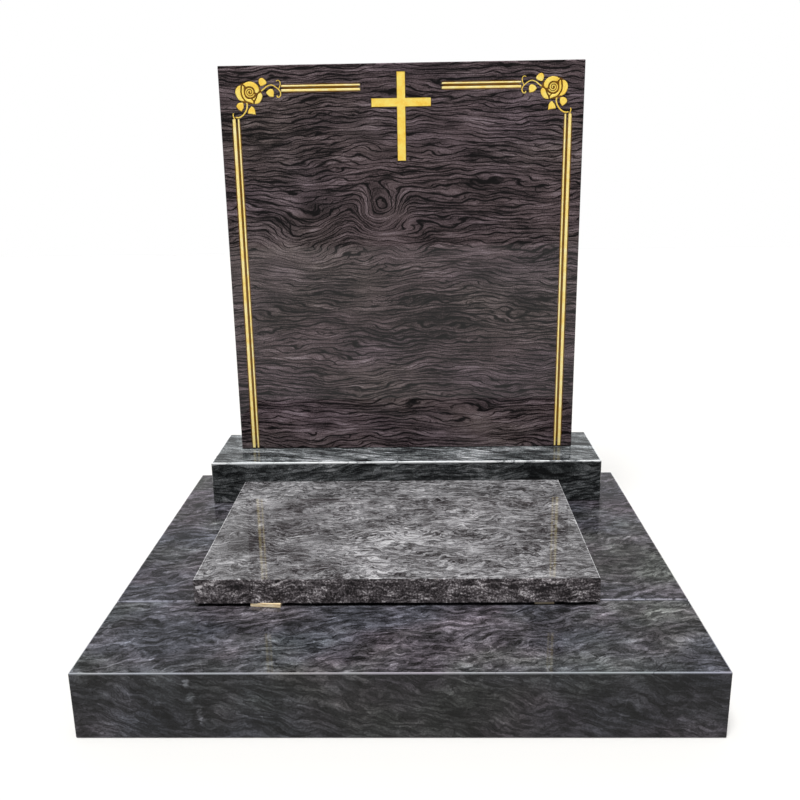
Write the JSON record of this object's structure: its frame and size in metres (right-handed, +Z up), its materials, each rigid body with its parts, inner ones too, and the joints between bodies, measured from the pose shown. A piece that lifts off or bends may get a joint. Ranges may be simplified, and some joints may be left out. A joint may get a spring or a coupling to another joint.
{
  "type": "cross headstone",
  "caption": "Upright polished granite headstone with a gilded engraved cross, frame lines and rose corners, on a plinth and slab base with a flat tablet in front.",
  "frame": {"origin": "bottom centre of the whole memorial, on the ground under the base", "axes": "+Z up, the engraved front of the headstone faces -Y, +X to the viewer's right"},
  "size_m": [0.9, 0.803, 0.944],
  "materials": {
    "base_granite": "polished",
    "plinth_granite": "polished",
    "headstone_granite": "polished",
    "tablet_granite": "polished top, sawn front edge",
    "packing_wood": "raw sawn softwood",
    "gilding": "matt gold paint in the engraving"
  },
  "bodies": {
    "root": {"base_front_slab": "base_granite", "base_rear_slab": "base_granite", "plinth": "plinth_granite", "headstone": "headstone_granite", "tablet": "tablet_granite", "packing_slip_front_left": "packing_wood", "packing_slip_front_right": "packing_wood", "packing_slip_back_left": "packing_wood", "packing_slip_back_right": "packing_wood"}
  },
  "joints": []
}
